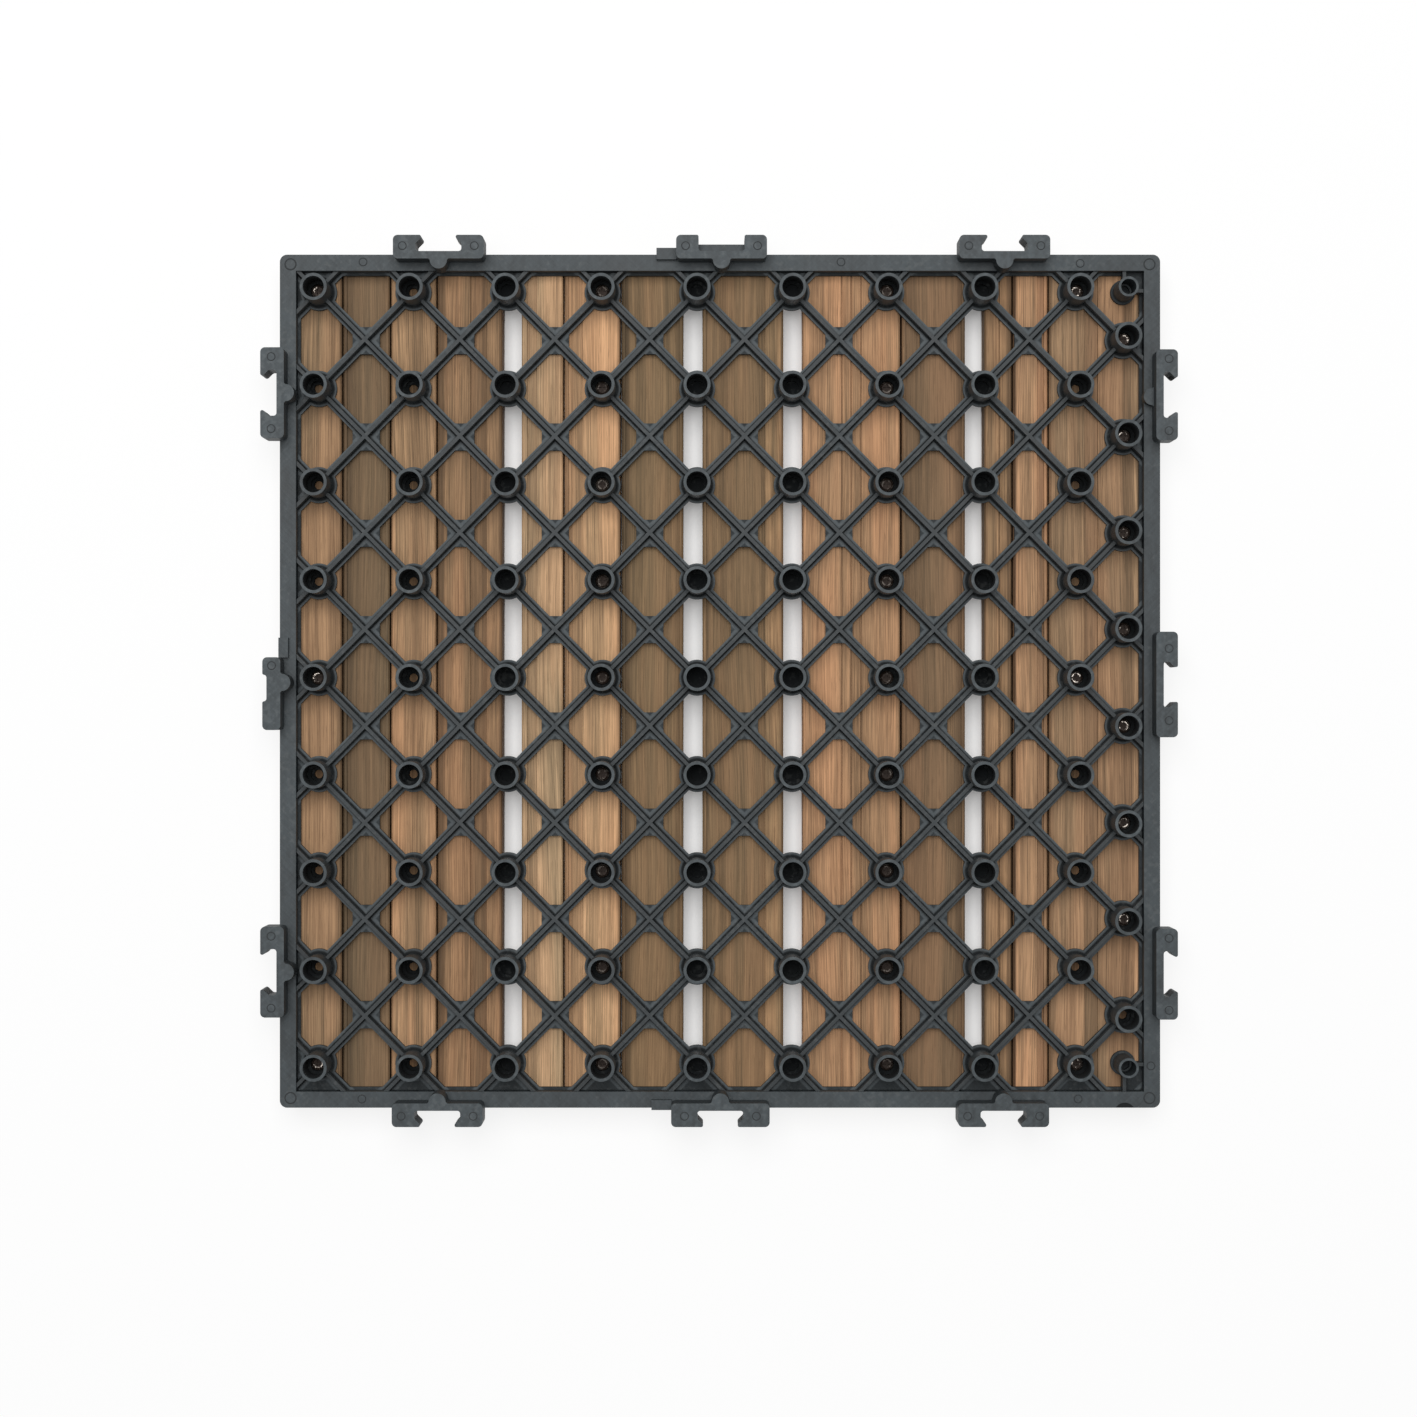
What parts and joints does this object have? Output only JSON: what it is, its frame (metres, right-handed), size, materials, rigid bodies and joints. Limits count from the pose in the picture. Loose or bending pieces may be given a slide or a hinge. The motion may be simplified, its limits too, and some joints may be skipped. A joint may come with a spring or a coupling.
{
  "type": "interlocking deck tile",
  "caption": "Square deck tile: wood-look slats side by side on a moulded lattice base with hollow posts and edge clips that join it to its neighbours.",
  "frame": {"origin": "middle of the tile on the plane of its walking face, which faces down in the stored pose", "axes": "+Z from the walking face to the post tops, so the tile is turned over about X to be laid; +Y along the slats; +X across them, towards the side with the extra half-step column of posts"},
  "size_m": [0.3109, 0.3024, 0.024],
  "materials": {
    "base_plastic": "charcoal moulded plastic, satin",
    "slat_wood_light": "light brown, dry, fine straight grain",
    "slat_wood_mid": "brown, dry, fine straight grain",
    "slat_wood_dark": "dark brown, dry, fine straight grain",
    "screw_steel": "plain zinc-grey steel"
  },
  "bodies": {
    "root": {"base_grid": "base_plastic", "slat_01": "slat_wood_mid", "slat_02": "slat_wood_dark", "slat_03": "slat_wood_mid", "slat_04": "slat_wood_mid", "slat_05": "slat_wood_light", "slat_06": "slat_wood_light", "slat_07": "slat_wood_dark", "slat_08": "slat_wood_dark", "slat_09": "slat_wood_light", "slat_10": "slat_wood_dark", "slat_11": "slat_wood_mid", "slat_12": "slat_wood_light", "slat_13": "slat_wood_mid", "screws": "screw_steel"}
  },
  "joints": []
}
